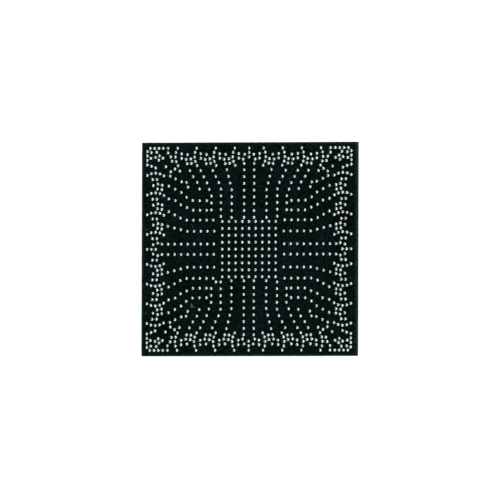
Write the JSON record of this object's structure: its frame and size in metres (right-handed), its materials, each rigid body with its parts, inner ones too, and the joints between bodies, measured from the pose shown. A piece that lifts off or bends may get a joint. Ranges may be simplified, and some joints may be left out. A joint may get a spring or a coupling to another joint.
{
  "type": "bga chip",
  "caption": "Flip-chip ball grid array package: a thin, dark green board with solder balls in rows, fans and clusters on one face and a bare die on the other.",
  "frame": {"origin": "centre of the die's back face, on which the package lies with its balls up", "axes": "+X along the 25 mm side, +Y along the 24 mm side, +Z out of the ball side"},
  "size_m": [0.025, 0.024, 0.0015],
  "materials": {
    "solder_mask": "dark green solder mask on glass-epoxy laminate, satin",
    "solder": "bright reflowed tin alloy",
    "silicon": "ground and polished back of the die",
    "epoxy": "cured filled epoxy, satin",
    "mark_metal": "bare plated copper, dulled"
  },
  "bodies": {
    "root": {"package_substrate": "solder_mask", "silicon_die": "silicon", "underfill": "epoxy", "ball_side_index_mark": "mark_metal", "die_side_index_mark": "mark_metal", "corner_support_balls": "solder", "core_balls": "solder", "key_ball": "solder", "north_edge_balls": "solder", "south_edge_balls": "solder", "east_edge_balls": "solder", "west_edge_balls": "solder", "north_fan_balls": "solder", "south_fan_balls": "solder", "east_fan_balls": "solder", "west_fan_balls": "solder", "northeast_corner_balls": "solder", "northwest_corner_balls": "solder", "southeast_corner_balls": "solder", "southwest_corner_balls": "solder"}
  },
  "joints": []
}
